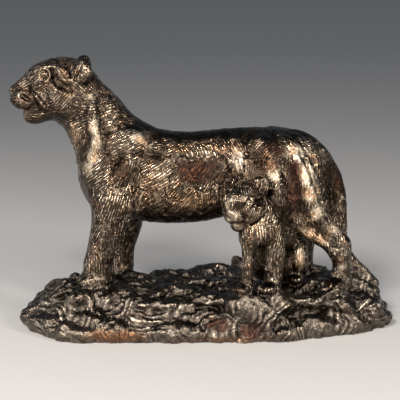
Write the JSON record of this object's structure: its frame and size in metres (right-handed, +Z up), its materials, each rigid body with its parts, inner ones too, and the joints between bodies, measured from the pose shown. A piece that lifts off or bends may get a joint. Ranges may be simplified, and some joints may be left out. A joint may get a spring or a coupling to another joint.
{
  "type": "lioness and cub statuette",
  "caption": "Cast bronze lioness standing over her seated cub on a rocky oval base, with hatched fur and a dark, lustrous, worn patina.",
  "frame": {"origin": "middle of the flat underside of the rocky base", "axes": "+X towards the tail and -X towards the lioness's head, along the base; +Y towards her right flank, which the picture doesn't show, and -Y towards the cub and the viewer; +Z up"},
  "size_m": [0.411, 0.1667, 0.2882],
  "materials": {
    "patinated_bronze": "dark brown lustrous patina, worn to pale gold on raised fur, with red-brown patches"
  },
  "bodies": {
    "root": {"lioness_and_cub": "patinated_bronze"}
  },
  "joints": []
}
